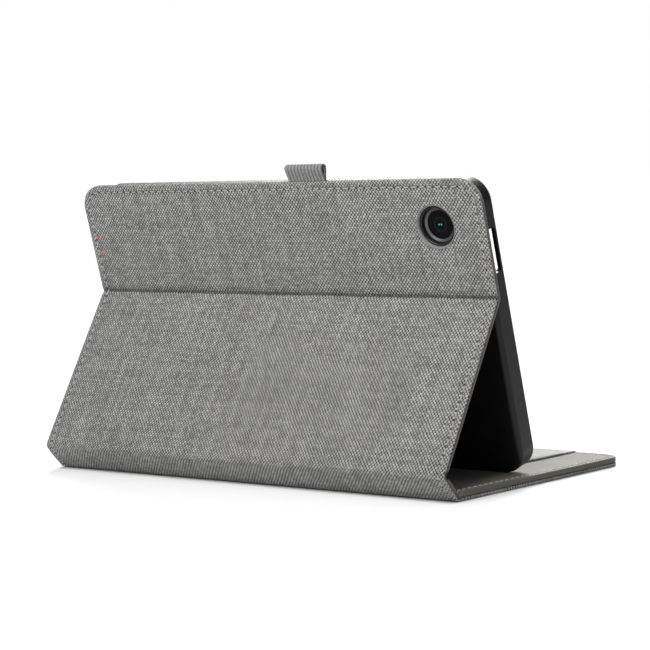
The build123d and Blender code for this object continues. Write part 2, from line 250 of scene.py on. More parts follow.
def lining_under(x, u, edge, hole_edge):
    """Depth of the lining's glued face: on the board inside, and down beside it at the edge."""
    skirt = CLOTH + (COVER_CLOTH - CLOTH) * on_cover(u) + SKIRT_GAP
    on_board = BOARD + (COVER_BOARD - BOARD) * on_cover(u) + 0.02
    inside = smooth(BOARD_INSET - 0.3, BOARD_INSET + 0.2, np.minimum(edge, hole_edge + 1.9))
    flat = skirt + (on_board - skirt) * inside
    for fold_u in (0.0, SPINE):
        flat = flat + (skirt - 0.1 - flat) * fold_dip(u, fold_u, 1.6, 2.4)
    tails = (np.abs(x - LOOP_MIDDLE) < LOOP_HALF + 0.4) & (END - u < TAIL + 0.6)
    flat = np.where(tails, TAIL_UNDER, flat)
    return flat + rounding(SKIRT_RADIUS, edge)


# ---------------------------------------------------------------- rows and columns of the panels' meshes
EDGE_RINGS = (0, 0.05, 0.15, 0.3, 0.5, 0.8, 1.1, 1.35, 1.8, 2.3, 2.7, 3.1, 3.5, 4.0, 5.0, 6.7, 8.8, CORNER)
FOLD_ROWS = (0, 0.35, 0.7, 1.05, 1.4, 1.8, 2.2, 2.6, 3.1, 3.7, 4.5, 5.6)
CREASE_ROWS = (0, 0.09, 0.18, 0.26, 0.6, 1.0, 1.5, 2.1, 3.0, 4.5)
PLAIN_STEP = 3.2


def filled(stops, step):
    """The stops, with even steps put into every longer gap between them."""
    stops = sorted(set(round(float(s), 4) for s in stops))
    kept = [stops[0]]
    for stop in stops[1:]:
        parts = max(1, round((stop - kept[-1]) / step))
        kept.extend(np.linspace(kept[-1], stop, parts + 1)[1:])
    return np.array(kept)


# The mesh is woven more closely in a square round the camera's opening.
HOLE_COLUMNS = np.linspace(HOLE[0] - 12.5, HOLE[0] + 12.5, 17)
HOLE_TOP = END - 6.7
below_corner = np.linspace(HOLE[1] - 14, END - CORNER, 15)
HOLE_ROWS = np.concatenate([below_corner, np.linspace(END - CORNER, HOLE_TOP, 4)])
columns = [side * (HALF - ring) for side in (-1, 1) for ring in EDGE_RINGS]
columns += list(HOLE_COLUMNS)
columns += [LOOP_MIDDLE + side * (LOOP_HALF + gap) for side in (-1, 1) for gap in (0.3, 0.5)]
COLUMNS = filled(columns, PLAIN_STEP)


def around(fold_u, offsets, low, high):
    """Rows on both sides of a fold, between limits."""
    rows = [fold_u + side * offset for side in (-1, 1) for offset in offsets]
    return [row for row in rows if low <= row <= high]


COVER_ROWS = filled(
    [START + ring for ring in EDGE_RINGS] + around(0, FOLD_ROWS, START, SPINE_CUT) + [SPINE_CUT],
    PLAIN_STEP,
)
FLAP_ROWS = filled([SPINE_CUT, FLAP_CUT] + around(SPINE, FOLD_ROWS, SPINE_CUT, FLAP_CUT), PLAIN_STEP)
BACK_ROWS = filled(
    [FLAP_CUT]
    + around(CREASE_U, CREASE_ROWS, FLAP_CUT, HOLE_ROWS[0])
    + list(HOLE_ROWS)
    + [END - ring for ring in EDGE_RINGS if ring < END - HOLE_TOP],
    PLAIN_STEP,
)


# ---------------------------------------------------------------- meshes
def new_object(name, points, faces, coords, materials, shades=None, sharp=()):
    """A smooth-shaded mesh that keeps its unrolled coordinates, in mm, for its material."""
    mesh = bpy.data.meshes.new(name)
    mesh.from_pydata([tuple(p) for p in points], [], [tuple(int(i) for i in f) for f in faces])
    attribute = mesh.attributes.new("unrolled", "FLOAT_VECTOR", "POINT")
    attribute.data.foreach_set("vector", np.asarray(coords, np.float32).ravel())
    for material in materials:
        mesh.materials.append(material)
    if shades is not None:
        mesh.polygons.foreach_set("material_index", np.asarray(shades, np.int32))
    mesh.polygons.foreach_set("use_smooth", np.ones(len(mesh.polygons), bool))
    work = bmesh.new()
    work.from_mesh(mesh)
    bmesh.ops.recalc_face_normals(work, faces=work.faces)
    rims = set(int(i) for i in sharp)
    for edge in work.edges:
        if rims and edge.verts[0].index in rims and edge.verts[1].index in rims:
            edge.smooth = False
    work.to_mesh(mesh)
    work.free()
    thing = bpy.data.objects.new(name, mesh)
    bpy.context.scene.collection.objects.link(thing)
    return thing


def grid_faces(index, skipped=None):
    """Quads of a grid of point numbers, without the skipped ones."""
    faces = []
    for i in range(index.shape[0] - 1):
        for j in range(index.shape[1] - 1):
            if skipped is None or not skipped[i, j]:
                faces.append((index[i, j], index[i, j + 1], index[i + 1, j + 1], index[i + 1, j]))
    return faces


def loop_round(index):
    """The point numbers round a grid's outside."""
    return [*index[0, :], *index[1:, -1], *index[-1, -2::-1], *index[-2:0:-1, 0]]


def strip(first, second):
    """Quads between two closed loops of point numbers."""
    count = len(first)
    return [(first[k], first[(k + 1) % count], second[(k + 1) % count], second[k]) for k in range(count)]


def into_arc(a, b, radius):
    """Where a point a and b inside the two sides of a square corner goes when the corner is rounded."""
    from_a, from_b = radius - a, radius - b
    inside = (from_a > 0) & (from_b > 0)
    big, small = np.maximum(from_a, from_b), np.minimum(from_a, from_b)
    angle = pi / 4 * small / np.where(big > 0, big, 1)
    angle = np.where(from_a >= from_b, angle, pi / 2 - angle)
    new_a = np.where(inside, radius - big * np.cos(angle), a)
    new_b = np.where(inside, radius - big * np.sin(angle), b)
    return new_a, new_b


def round_corners(x, u, end, way):
    """Bends the grid's square corners at a free end into round ones, and gives each point's distance in."""
    a = HALF - np.abs(x)
    b = (end - u) * way
    new_a, new_b = into_arc(a, b, CORNER)
    return np.where(x < 0, new_a - HALF, HALF - new_a), end - way * new_b, np.minimum(a, b)


# How a ring of points round the opening is placed: its share of the way in from the square, and its distance
# outside the opening's edge at the end of that way.
HOLE_RINGS = ((0.35, 1.3), (0.7, 1.3), (1, 1.3), (1, 0.7), (1, 0.35), (1, 0.15), (1, 0.04), (1, 0))


def gaps_within(stops, limits):
    """Which gaps between stops lie within the limits."""
    middle = (stops[:-1] + stops[1:]) / 2
    return (middle > limits[0]) & (middle < limits[-1])


def skin(name, span, face, under, material):
    """One closed layer of a span: two faces over a grid, walls round them, and the camera's opening."""
    x, u = np.meshgrid(COLUMNS, span.rows)
    if span.free_end is None:
        edge = HALF - np.abs(x)
    else:
        x, u, edge = round_corners(x, u, span.free_end, span.way)
    points_x, points_u, edges = x.ravel(), u.ravel(), edge.ravel()
    hole_edges = np.full(x.size, FAR)
    index = np.arange(x.size).reshape(x.shape)
    skipped = None
    rings = []
    if span.has_hole:
        in_x, in_u = gaps_within(COLUMNS, HOLE_COLUMNS), gaps_within(span.rows, HOLE_ROWS)
        skipped = in_u[:, None] & in_x[None, :]
        i_in, j_in = np.flatnonzero(in_u), np.flatnonzero(in_x)
        border = loop_round(index[i_in[0] : i_in[-1] + 2, j_in[0] : j_in[-1] + 2])
        from_x = points_x[border] - HOLE[0]
        from_u = points_u[border] - HOLE[1]
        reach = np.hypot(from_x, from_u)
        rings = [border]
        for share, outside in HOLE_RINGS:
            radius = reach + share * (HOLE_RADIUS + outside - reach)
            rings.append(list(range(len(points_x), len(points_x) + len(border))))
            points_x = np.append(points_x, HOLE[0] + from_x / reach * radius)
            points_u = np.append(points_u, HOLE[1] + from_u / reach * radius)
            edges = np.append(edges, np.full(len(border), FAR))
            hole_edges = np.append(hole_edges, np.maximum(radius - HOLE_RADIUS, 0))
    total = len(points_x)
    faces = []
    for shift in (0, total):
        faces += grid_faces(index + shift, skipped)
        for outer, inner in zip(rings, rings[1:]):
            faces += strip([k + shift for k in outer], [k + shift for k in inner])
    outline = loop_round(index)
    faces += strip(outline, [k + total for k in outline])
    if span.has_hole:
        faces += strip(rings[-1], [k + total for k in rings[-1]])
    depth = np.concatenate([f(points_x, points_u, edges, hole_edges) for f in (face, under)])
    all_x, all_u = np.tile(points_x, 2), np.tile(points_u, 2)
    used = np.zeros(2 * total, bool)
    for f in faces:
        used[list(f)] = True
    number = np.cumsum(used) - 1
    faces = [[number[k] for k in f] for f in faces]
    joined_rows = {None: (0, -1), START: (-1,), END: (0,)}[span.free_end]
    sharp = [number[k + shift] for row in joined_rows for k in index[row] for shift in (0, total)]
    coords = np.stack([all_x, all_u, depth], axis=1)[used]
    return new_object(name, bend(all_x, all_u, depth)[used], faces, coords, [material], sharp=sharp)


# ---------------------------------------------------------------- materials
class Shader:
    """A node material being put together. Values given to its methods are numbers, colours or sockets."""

    def __init__(self, name, **settings):
        self.material = bpy.data.materials.new(name)
        self.material.use_nodes = True
        self.nodes = self.material.node_tree.nodes
        self.nodes.clear()
        self.shader = self.nodes.new("ShaderNodeBsdfPrincipled")
        output = self.nodes.new("ShaderNodeOutputMaterial")
        self.link(self.shader.outputs[0], output.inputs[0])
        for socket, value in settings.items():
            self.set(socket.replace("_", " "), value)

    def link(self, a, b):
        self.material.node_tree.links.new(a, b)

    def give(self, socket, value):
        """Links a socket to a node's input, or sets the input to a number or colour."""
        if isinstance(value, bpy.types.NodeSocket):
            self.link(value, socket)
        elif isinstance(value, tuple) and len(value) == 3 and socket.type == "RGBA":
            socket.default_value = (*value, 1.0)
        else:
            socket.default_value = value

    def set(self, name, value):
        """One of the Principled shader's inputs."""
        self.give(self.shader.inputs[name], value)

    def add(self, kind, values=(), **settings):
        """A node, with the values of its inputs and its settings."""
        node = self.nodes.new("ShaderNode" + kind)
        for key, value in settings.items():
            setattr(node, key, value)
        for socket, value in dict(values).items():
            self.give(node.inputs[socket], value)
        return node

    def math(self, operation, a, b=0.0, c=0.0):
        return self.add("Math", {0: a, 1: b, 2: c}, operation=operation).outputs[0]

    def vector(self, operation, a, b=(0.0, 0.0, 0.0)):
        node = self.add("VectorMath", {0: a, 1: b}, operation=operation)
        return node.outputs["Value" if operation in ("DOT_PRODUCT", "LENGTH") else "Vector"]

    def scaled(self, a, factor):
        return self.add("VectorMath", {"Vector": a, "Scale": factor}, operation="SCALE").outputs["Vector"]

    def unrolled(self):
        return self.add("Attribute", attribute_name="unrolled").outputs["Vector"]

    def place(self):
        """The object's own coordinates, in millimetres."""
        return self.scaled(self.add("TexCoord").outputs["Object"], 1 / MM)

    def split(self, vector):
        """The three sockets of a vector."""
        return self.add("SeparateXYZ", {0: vector}).outputs

    def join(self, x, y, z=0.0):
        return self.add("CombineXYZ", {0: x, 1: y, 2: z}).outputs[0]

    def noise(self, vector, scale, detail=2.0, rough=0.5):
        node = self.add("TexNoise", {"Vector": vector, "Scale": scale, "Detail": detail, "Roughness": rough})
        return node.outputs["Fac"]

    def noise_vector(self, vector, scale, detail=2.0):
        """A wandering offset round zero."""
        node = self.add("TexNoise", {"Vector": vector, "Scale": scale, "Detail": detail})
        return self.vector("SUBTRACT", node.outputs["Color"], (0.5, 0.5, 0.5))

    def speckle(self, vector):
        """A random number for each place."""
        return self.add("TexWhiteNoise", {"Vector": vector}).outputs["Value"]

    def cells(self, vector, scale):
        return self.add("TexVoronoi", {"Vector": vector, "Scale": scale}).outputs["Distance"]

    def ranged(self, value, low, high, to_low=0.0, to_high=1.0, smoothly=True):
        """A value taken from one range into another, and kept within it."""
        kind = "SMOOTHSTEP" if smoothly else "LINEAR"
        values = {0: value, 1: low, 2: high, 3: to_low, 4: to_high}
        return self.add("MapRange", values, interpolation_type=kind).outputs[0]

    def mix(self, factor, a, b, blend="MIX"):
        node = self.add("Mix", {0: factor, 6: a, 7: b}, data_type="RGBA", blend_type=blend)
        return node.outputs[2]

    def total(self, *terms):
        """Sum of terms, each a value or a pair of a value and its factor."""
        parts = [self.math("MULTIPLY", *term) if isinstance(term, tuple) else term for term in terms]
        result = parts[0]
        for part in parts[1:]:
            result = self.math("ADD", result, part)
        return result

    def squared_share(self, value, limit):
        """Square of a value's size as a share of a limit."""
        return self.math("POWER", self.math("DIVIDE", self.math("ABSOLUTE", value), limit), 2.0)

    def tinted(self, colour, tone):
        """A colour made lighter or darker by a tone round 1."""
        return self.mix(1.0, colour, self.join(tone, tone, tone), "MULTIPLY")

    def bump(self, height, distance):
        """Relief of a given height in millimetres."""
        node = self.add("Bump", {"Height": height, "Distance": distance * MM})
        self.set("Normal", node.outputs[0])


YARN_PITCH = 1.62
YARN_ROW = 0.97
ROW_SHIFT = 0.5
RELIEF = 0.16
CLOUD = 0.18
FIBRE = 0.30
SLUB = 0.22


def weave(name, light, dark):
    """Plain cloth of heather yarns: light floats in rows that are half a pitch apart, over darker ones, with
    painted shade along the crease.
    """
    s = Shader(name)
    s.set("Sheen Weight", 0.12)
    s.set("Sheen Roughness", 0.45)
    s.set("Specular IOR Level", 0.25)
    base = s.unrolled()
    broad_wander = s.scaled(s.noise_vector(base, 0.09), 1.1)
    fine_wander = s.scaled(s.noise_vector(base, 0.45), 0.34)
    x, u, _ = s.split(s.vector("ADD", base, s.vector("ADD", broad_wander, fine_wander)))
    in_rows = s.math("DIVIDE", u, YARN_ROW)
    line = s.math("FLOOR", s.math("ADD", in_rows, 0.5))
    in_pitches = s.math("DIVIDE", x, YARN_PITCH)
    stepped = s.math("SUBTRACT", in_pitches, s.math("MULTIPLY", line, ROW_SHIFT))
    cell = s.math("FLOOR", s.math("ADD", stepped, 0.5))
    own = s.speckle(s.join(cell, line, 3.0))
    other = s.speckle(s.join(cell, line, 8.0))
    block = s.math("FLOOR", s.math("DIVIDE", u, 31.0))
    warp = s.speckle(s.join(s.math("FLOOR", in_pitches), block, 21.0))
    weft = s.speckle(s.join(s.math("FLOOR", s.math("DIVIDE", x, 27.0)), line, 34.0))
    wide = s.ranged(own, 0, 1, 0.31, 0.39, False)
    across_float = s.squared_share(s.math("SUBTRACT", stepped, cell), wide)
    along_float = s.squared_share(s.math("SUBTRACT", in_rows, line), 0.62)
    swell = s.math("SUBTRACT", 1.0, s.math("ADD", across_float, along_float))
    float_mask = s.ranged(swell, -0.3, 0.5)
    fibre = s.noise(s.vector("MULTIPLY", base, (1.6, 7.0, 3.0)), 1.0, 3.0, 0.65)
    haze = s.noise(base, 0.055, 4.0, 0.6)
    slub = s.noise(s.vector("MULTIPLY", base, (0.05, 0.8, 0.2)), 1.0, 2.0)
    slub_up = s.noise(s.vector("MULTIPLY", base, (0.7, 0.05, 0.2)), 1.0, 2.0)
    tone = s.total((own, 0.42), (warp, 0.32), (weft, 0.26))
    light_gain = s.ranged(tone, 0.05, 0.95, 0.64, 1.30, False)
    dark_gain = s.ranged(other, 0, 1, 0.6, 1.6, False)
    colour = s.mix(float_mask, s.tinted(dark, dark_gain), s.tinted(light, light_gain))
    level = 1 - (CLOUD + FIBRE) / 2 - SLUB
    shade = s.total((haze, CLOUD), (fibre, FIBRE), (slub, SLUB), (slub_up, SLUB), level)
    # Painted shade along the crease: a dark line just above the fold, and a softer, wider dark band above
    # that, multiplied into the colour.
    above = s.math("SUBTRACT", s.split(base)[1], CREASE_U)
    from_line = s.math("ABSOLUTE", s.math("SUBTRACT", above, 0.35))
    from_band = s.math("ABSOLUTE", s.math("SUBTRACT", above, 1.6))
    line_shade = s.ranged(from_line, 0.25, 1.0, 0.46, 1.0)
    band_shade = s.ranged(from_band, 0.4, 2.6, 0.78, 1.0)
    crease_painted_shade = s.math("MULTIPLY", line_shade, band_shade)
    s.set("Base Color", s.tinted(colour, s.math("MULTIPLY", shade, crease_painted_shade)))
    s.set("Roughness", s.ranged(float_mask, 0, 1, 0.95, 0.80, False))
    s.bump(s.total(s.ranged(swell, -0.6, 1.0), (fibre, 0.35)), RELIEF)
    return s.material


def leather(name, colour, shine, grain=2.6):
    """Soft coated lining: fine pebbled grain, slow changes of tone, and painted shade darkening it at the
    case's two ends, for the shaded gap between cloth and lining.
    """
    s = Shader(name)
    base = s.unrolled()
    pebble = s.cells(s.vector("ADD", base, s.noise_vector(base, 1.1)), grain)
    fine = s.noise(base, 3.2, 4.0, 0.65)
    broad = s.noise(base, 0.05, 3.0, 0.55)
    tone = s.total((broad, 0.26), (fine, 0.34), (pebble, -0.30), 0.84)
    # Painted shade: the colour falls to half within a millimetre of the case's two ends, for the shaded gap
    # between cloth and lining.
    from_middle = s.math("ABSOLUTE", s.split(base)[0])
    outline = s.ranged(from_middle, HALF - 1.0, HALF - 0.15, 1.0, 0.5)
    s.set("Base Color", s.tinted(colour, s.math("MULTIPLY", tone, outline)))
    s.set("Roughness", s.ranged(fine, 0.3, 0.7, shine, shine + 0.16, False))
    s.set("Sheen Weight", 0.06)
    s.set("Sheen Roughness", 0.5)
    s.set("Specular IOR Level", 0.25)
    s.bump(s.total((pebble, -0.9), (fine, 0.8)), 0.11)
    return s.material


def thread(name, colour):
    """Twisted sewing thread."""
    s = Shader(name, Roughness=0.6)
    base = s.unrolled()
    x, u, d = s.split(base)
    twist = s.math("SINE", s.math("MULTIPLY", s.total(x, u, (d, 1.5)), 9.0))
    tone = s.ranged(twist, -1, 1, 0.78, 1.12, False)
    tone = s.math("MULTIPLY", tone, s.ranged(s.noise(base, 0.3), 0.3, 0.7, 0.85, 1.12, False))
    s.set("Base Color", s.tinted(colour, tone))
    s.set("Sheen Weight", 0.2)
    s.bump(twist, 0.04)
    return s.material


RIBS = 11
RIB = 2 * LOOP_HALF / RIBS
PICK = 0.62


def webbing(name, light, dark):
    """Ribbed elastic webbing: ribs along the band, crossed by fine picks."""
    s = Shader(name, Roughness=0.85)
    base = s.unrolled()
    x, u, _ = s.split(s.vector("ADD", base, s.scaled(s.noise_vector(base, 0.8), 0.12)))
    rib = s.math("COSINE", s.math("MULTIPLY", s.math("SUBTRACT", x, LOOP_MIDDLE), 2 * pi / RIB))
    pick = s.math("SINE", s.math("MULTIPLY", u, 2 * pi / PICK))
    speck = s.noise(s.vector("MULTIPLY", base, (3.0, 2.2, 2.2)), 1.0, 3.0, 0.7)
    tone = s.total((rib, 0.36), (pick, 0.10), (s.math("SUBTRACT", speck, 0.5), 1.1))
    s.set("Base Color", s.mix(s.ranged(tone, -0.6, 0.6), dark, light))
    s.set("Sheen Weight", 0.15)
    s.bump(s.total((rib, 0.6), (pick, 0.3), speck), 0.10)
    return s.material


def moulded(name, colour, rough, grain=0.035, wear=0.25):
    """Moulded plastic: fine spark-eroded grain, slight mottle, and patches rubbed smoother by handling."""
    s = Shader(name)
    base = s.place()
    fine = s.noise(base, 2.3, 3.0, 0.6)
    broad = s.noise(base, 0.035, 3.0, 0.5)
    smudge = s.noise(base, 0.09, 4.0, 0.6)
    s.set("Base Color", s.tinted(colour, s.total((broad, 0.5), (fine, 0.25), 0.62)))
    s.set("Roughness", s.ranged(smudge, 0.3, 0.7, rough - wear / 4, rough + wear / 4, False))
    s.set("Specular IOR Level", 0.19)
    s.bump(fine, grain)
    return s.material


def radial(s):
    """Distance from the camera opening's axis, and the offset itself, in millimetres."""
    centre = bend(HOLE[0], HOLE[1], 0.0) / MM
    axis = (0.0, *inward(BACK_ANGLE))
    from_centre = s.vector("SUBTRACT", s.place(), tuple(centre))
    drop = s.vector("DOT_PRODUCT", from_centre, axis)
    offset = s.vector("SUBTRACT", from_centre, s.scaled(s.join(*axis), drop))
    return s.vector("LENGTH", offset), offset


BEZEL = (6.3, 7.3)
SOFT_EDGE = 0.05


def ring_metal(name):
    """Turned ring: black rim, satin grey bezel, with fine tool marks."""
    s = Shader(name, Metallic=0.6)
    radius, _ = radial(s)
    marks = s.noise(s.join(s.math("MULTIPLY", radius, 9.0), 0.0, 0.0), 1.0, 3.0, 0.6)
    fleck = s.noise(s.place(), 3.0, 3.0, 0.6)
    past_inner = s.ranged(radius, BEZEL[0] - SOFT_EDGE, BEZEL[0])
    before_outer = s.ranged(radius, BEZEL[1] + SOFT_EDGE, BEZEL[1])
    grey = s.mix(marks, (0.07, 0.07, 0.075), (0.12, 0.12, 0.13))
    black = s.mix(fleck, (0.006, 0.006, 0.007), (0.03, 0.03, 0.032))
    s.set("Base Color", s.mix(s.math("MULTIPLY", past_inner, before_outer), black, grey))
    unevenness = s.math("ADD", marks, fleck)
    s.set("Roughness", s.ranged(unevenness, 0.7, 1.3, 0.36, 0.5, False))
    s.bump(unevenness, 0.012)
    return s.material


# Painted reflection: the blue-green of two small glints of the lens coating, put in the colour and in a faint
# glow.
PAINTED_GLINT_TEAL = (0.03, 0.40, 0.40)
PAINTED_GLINT_PLACES = (-0.55, 0.6)


def window_glass(name):
    """Black-printed cover glass with a faint ring round the lens, and two small painted glints in the
    blue-green of its coating: painted reflections that also glow a little.
    """
    s = Shader(name)
    radius, offset = radial(s)
    ring = s.math("MULTIPLY", s.ranged(radius, 2.5, 2.75), s.ranged(radius, 3.35, 3.1))
    dust = s.noise(s.place(), 1.5, 4.0, 0.6)
    # Painted glints: blue-green spots at two places, which also glow.
    painted_glint = 0.0
    for place in PAINTED_GLINT_PLACES:
        gap = s.vector("LENGTH", s.vector("SUBTRACT", offset, (place, 0.0, 0.0)))
        painted_glint = s.math("MAXIMUM", s.ranged(gap, 0.58, 0.05), painted_glint)
    printed = s.mix(ring, (0.0025, 0.0028, 0.003), (0.010, 0.011, 0.013))
    s.set("Base Color", s.mix(painted_glint, printed, PAINTED_GLINT_TEAL))
    s.set("Emission Color", PAINTED_GLINT_TEAL)
    s.set("Emission Strength", s.math("MULTIPLY", painted_glint, 0.35))
    s.set("Roughness", s.ranged(dust, 0.3, 0.7, 0.05, 0.12, False))
    s.set("Specular IOR Level", 0.03)
    s.bump(dust, 0.002)
    return s.material


def card(name):
    """Grey-brown fibre board."""
    s = Shader(name, Roughness=0.9)
    base = s.place()
    fibre = s.noise(s.vector("MULTIPLY", base, (0.4, 1.6, 1.6)), 1.0, 5.0, 0.7)
    s.set("Base Color", s.mix(fibre, (0.22, 0.20, 0.17), (0.34, 0.31, 0.27)))
    s.bump(fibre, 0.05)
    return s.material


def metal(name):
    """Nickel-plated bar, brushed along its length."""
    s = Shader(name, Metallic=1.0)
    base = s.place()
    brushed = s.noise(s.vector("MULTIPLY", base, (0.3, 6.0, 6.0)), 1.0, 4.0, 0.6)
    s.set("Base Color", s.mix(brushed, (0.45, 0.45, 0.46), (0.62, 0.62, 0.63)))
    s.set("Roughness", s.ranged(brushed, 0.3, 0.7, 0.28, 0.42, False))
    s.bump(brushed, 0.01)
    return s.material


heather = weave("heather_cloth", (0.292, 0.292, 0.277), (0.037, 0.037, 0.036))
# The pocket's cloth is the heather weave made far lighter: partly a lighter cloth, partly painted light for
# the strong top light on the pocket's upward face.
pocket_cloth = weave("pocket_cloth", (0.95, 0.945, 0.93), (0.17, 0.17, 0.165))
lining_coat = leather("lining_coat", (0.188, 0.166, 0.140), 0.55, 1.9)
edge_coat = leather("edge_coat", (0.17, 0.17, 0.16), 0.6)
stitch_thread = thread("stitch_thread", (0.56, 0.555, 0.54))
cloth_thread = thread("cloth_thread", (0.31, 0.308, 0.295))
# Needle holes get a dark colour: painted shade for the shade inside each hole.
hole_painted_shade = moulded("hole_painted_shade", (0.035, 0.034, 0.033), 0.9)
accent = thread("accent_thread", (0.72, 0.15, 0.05))
band = webbing("webbing", (0.225, 0.225, 0.221), (0.080, 0.080, 0.080))
shell_black = moulded("shell_plastic", (0.0062, 0.0062, 0.0064), 0.36)
barrel_black = moulded("barrel_plastic", (0.006, 0.006, 0.006), 0.35, 0.01)
glue = moulded("adhesive", (0.30, 0.29, 0.26), 0.7, 0.02)
board_card = card("board")
magnet_steel = metal("magnet")
ring_finish = ring_metal("ring_metal")
glass = window_glass("window_glass")
lens_finish = window_glass("lens_glass")

for node, material in {
    "cover_board": board_card,
    "spine_board": board_card,
    "flap_board": board_card,
    "back_board": board_card,
    "cover_magnets": magnet_steel,
    "adhesive_sheet": glue,
    "shell_frame": shell_black,
    "shell_back": shell_black,
    "camera_ring": ring_finish,
    "camera_window": glass,
    "camera_barrel": barrel_black,
    "camera_lens": lens_finish,
}.items():
    shown = frame["nodes"][node]
    shown.data.materials.clear()
    shown.data.materials.append(material)


# ---------------------------------------------------------------- cloth and lining over the four panels
Span = namedtuple("Span", "name rows free_end way has_hole bodies fold_u low high cloth lining boards")
SPANS = (
    Span(
        name="cover_spine",
        rows=COVER_ROWS,
        free_end=START,
        way=-1.0,
        has_hole=False,
        bodies=("front_cover", "spine"),
        fold_u=0.0,
        low=START,
        high=SPINE_CUT,
        cloth=("cover_cloth",),
        lining=("cover_lining", "spine_lining"),
        boards=["cover_board"],
    ),
    Span(
        name="spine_flap",
        rows=FLAP_ROWS,
        free_end=None,
        way=1.0,
        has_hole=False,
        bodies=("spine", "flap"),
        fold_u=SPINE,
        low=SPINE_CUT,
        high=FLAP_CUT,
        cloth=("spine_cloth", "flap_cloth"),
        lining=("flap_lining",),
        boards=["spine_board", "flap_board"],
    ),
    Span(
        name="flap_back",
        rows=BACK_ROWS,
        free_end=END,
        way=1.0,
        has_hole=True,
        bodies=("flap", "back"),
        fold_u=CREASE_U,
        low=FLAP_CUT,
        high=END,
        cloth=("back_cloth",),
        lining=("back_lining",),
        boards=["back_board"],
    ),
)


def row_point(u):
    """A point of the cloth's outer face, half way along a row."""
    return tuple(bend(0.0, u, 0.0))


def blend_over(piece, span):
    """Bakes a piece's transform into its mesh. The bodies and the rows each side of its span's fold are
    looked up, and not used.
    """
    low, high = span.fold_u - BLEND_REACH, span.fold_u + BLEND_REACH
    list(span.bodies)
    row_point(low)
    row_point(high)
    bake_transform(piece)


for span in SPANS:
    for kind, face, under, material, nodes, slot in (
        ("cloth", cloth_face, cloth_under, heather, span.cloth, "heather_cloth"),
        ("lining", lining_face, lining_under, lining_coat, span.lining, "lining"),
    ):
        piece = skin(f"{kind}_{span.name}", span, face, under, material)
        blend_over(piece, span)
        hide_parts(*nodes)
        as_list(span.boards)


# ---------------------------------------------------------------- sewing
# The place of each material in the list of a seam's materials.
CLOTH_THREAD, HOLE_PAINTED_SHADE, LINING_THREAD = range(3)
# A stitch's sections: the share of its length from its middle, and the share of its radius there.
STITCH_SECTIONS = (
    (-0.5, 0.45),
    (-0.44, 0.85),
    (-0.25, 1.0),
    (0, 1.0),
    (0.25, 1.0),
    (0.44, 0.85),
    (0.5, 0.45),
)
STITCH_SIDES = 6
# A needle hole's rings: the share of its radius, and the height over the surface.
DIMPLE_SECTIONS = ((0.9, -0.12), (1.0, 0.02), (0.8, 0.09), (0.35, 0.0))
DIMPLE_SIDES = 7
STITCH_PITCH = 3.95
STITCH_LENGTH = 2.75
NEEDLE_STEP = 1.97
NEEDLE_RADIUS = 0.52


class Sewing:
    """Collects short tubes and needle holes, as points of the unrolled case."""

    def __init__(self):
        self.points, self.faces, self.shades = [], [], []

    def ring(self, points):
        """Keeps a ring of points, and gives their numbers."""
        start = len(self.points)
        self.points += points
        return list(range(start, len(self.points)))

    def close(self, rings, shade):
        """Faces between the rings, and one over each end."""
        faces = [face for a, b in zip(rings, rings[1:]) for face in strip(a, b)]
        faces += [tuple(rings[0]), tuple(rings[-1])]
        self.faces += faces
        self.shades += [shade] * len(faces)

    def tube(self, x, u, way_x, way_u, length, radius, depth_at, proud, sink, shade=CLOTH_THREAD):
        """A stitch whose ends dive into the surface."""
        rings = []
        for t, share in STITCH_SECTIONS:
            at_x, at_u = x + way_x * t * length, u + way_u * t * length
            lift = proud * (1 - (2 * t) ** 4) - sink * (2 * t) ** 4
            d = depth_at(at_x, at_u, lift)
            points = []
            for k in range(STITCH_SIDES):
                turn = 2 * pi * k / STITCH_SIDES
                aside, deeper = radius * share * cos(turn), radius * share * sin(turn)
                points.append((at_x - way_u * aside, at_u + way_x * aside, d + deeper))
            rings.append(self.ring(points))
        self.close(rings, shade)

    def dimple(self, x, u, radius, depth_at):
        """A needle hole: a small disc with a sunken middle, closed underneath, coloured dark as painted shade
        for the hole.
        """
        rings = []
        for share, lift in DIMPLE_SECTIONS:
            turns = [2 * pi * k / DIMPLE_SIDES for k in range(DIMPLE_SIDES)]
            places = [(x + share * radius * cos(a), u + share * radius * sin(a)) for a in turns]
            rings.append(self.ring([(at_x, at_u, depth_at(at_x, at_u, lift)) for at_x, at_u in places]))
        self.close(rings, HOLE_PAINTED_SHADE)

    def build(self, name, materials):
        """One object of all that was collected."""
        coords = np.array(self.points)
        return new_object(name, bend(*coords.T), self.faces, coords, materials, shades=self.shades)


def racetrack(inset):
    """Places along the sewn line round the whole case: (x, u, direction x, direction u) at even steps."""
    half, radius = HALF - inset, CORNER - inset
    low, high = START + inset, END - inset
    long, short, arc = high - low - 2 * radius, 2 * (half - radius), radius * pi / 2
    total = 2 * (long + short) + 4 * arc
    count = round(total / STITCH_PITCH)
    for k in range(count):
        p = (k + 0.5) * total / count
        for corner_x, corner_u, angle, run in (
            (half - radius, low + radius, 0.0, long),
            (half - radius, high - radius, pi / 2, short),
            (radius - half, high - radius, pi, long),
            (radius - half, low + radius, 3 * pi / 2, short),
        ):
            way_x, way_u = -sin(angle), cos(angle)
            if p < run:
                x = corner_x + radius * cos(angle) + p * way_x
                u = corner_u + radius * sin(angle) + p * way_u
                yield x, u, way_x, way_u
                break
            p -= run
            next_x, next_u = corner_x + run * way_x, corner_u + run * way_u
            if p < arc:
                turned = angle + p / radius
                x, u = next_x + radius * cos(turned), next_u + radius * sin(turned)
                yield x, u, -sin(turned), cos(turned)
                break
            p -= arc


def edge_of(x, u):
    """Distance in from the case's outline, round corners included."""
    a, b = HALF - abs(x), min(END - u, u - START)
    if a < CORNER and b < CORNER:
        return CORNER - hypot(CORNER - a, CORNER - b)
    return min(a, b)


